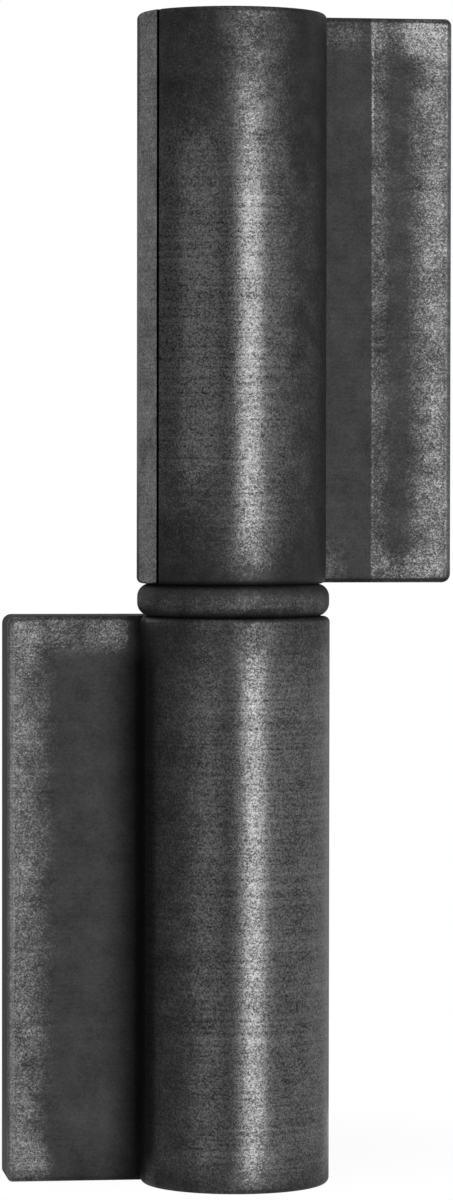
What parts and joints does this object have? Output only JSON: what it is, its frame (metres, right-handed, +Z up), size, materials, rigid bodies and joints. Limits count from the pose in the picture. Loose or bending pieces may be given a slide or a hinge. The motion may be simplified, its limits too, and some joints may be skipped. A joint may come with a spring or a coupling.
{
  "type": "weld on barrel hinge",
  "caption": "Lift-off weld-on barrel hinge: two drawn steel leaves, a fixed pin and a round-edged thrust ring.",
  "frame": {"origin": "on the pin axis at half the thrust ring's height, which is the centre of the open hinge", "axes": "+Z up along the pin, +X along the upper leaf's wing, +Y to the back, where the wings are laid on and welded"},
  "size_m": [0.0384, 0.0164, 0.1],
  "materials": {
    "leaf_steel": "dark drawn skin, rubbed bright along the wing edges",
    "pin_steel": "ground bright",
    "ring_steel": "dark tumbled"
  },
  "bodies": {
    "lower": {"lower_leaf": "leaf_steel", "pin": "pin_steel"},
    "ring": {"thrust_ring": "ring_steel"},
    "upper": {"upper_leaf": "leaf_steel"}
  },
  "joints": [
    {"name": "leaf_swing", "type": "hinge", "parent": "lower", "child": "ring", "pos_m": [0, 0, 0], "axis": [0, 0, 1], "continuous": true},
    {"name": "lift_off", "type": "slide", "parent": "ring", "child": "upper", "axis": [0, 0, 1], "range_m": [0, 0.05]}
  ]
}
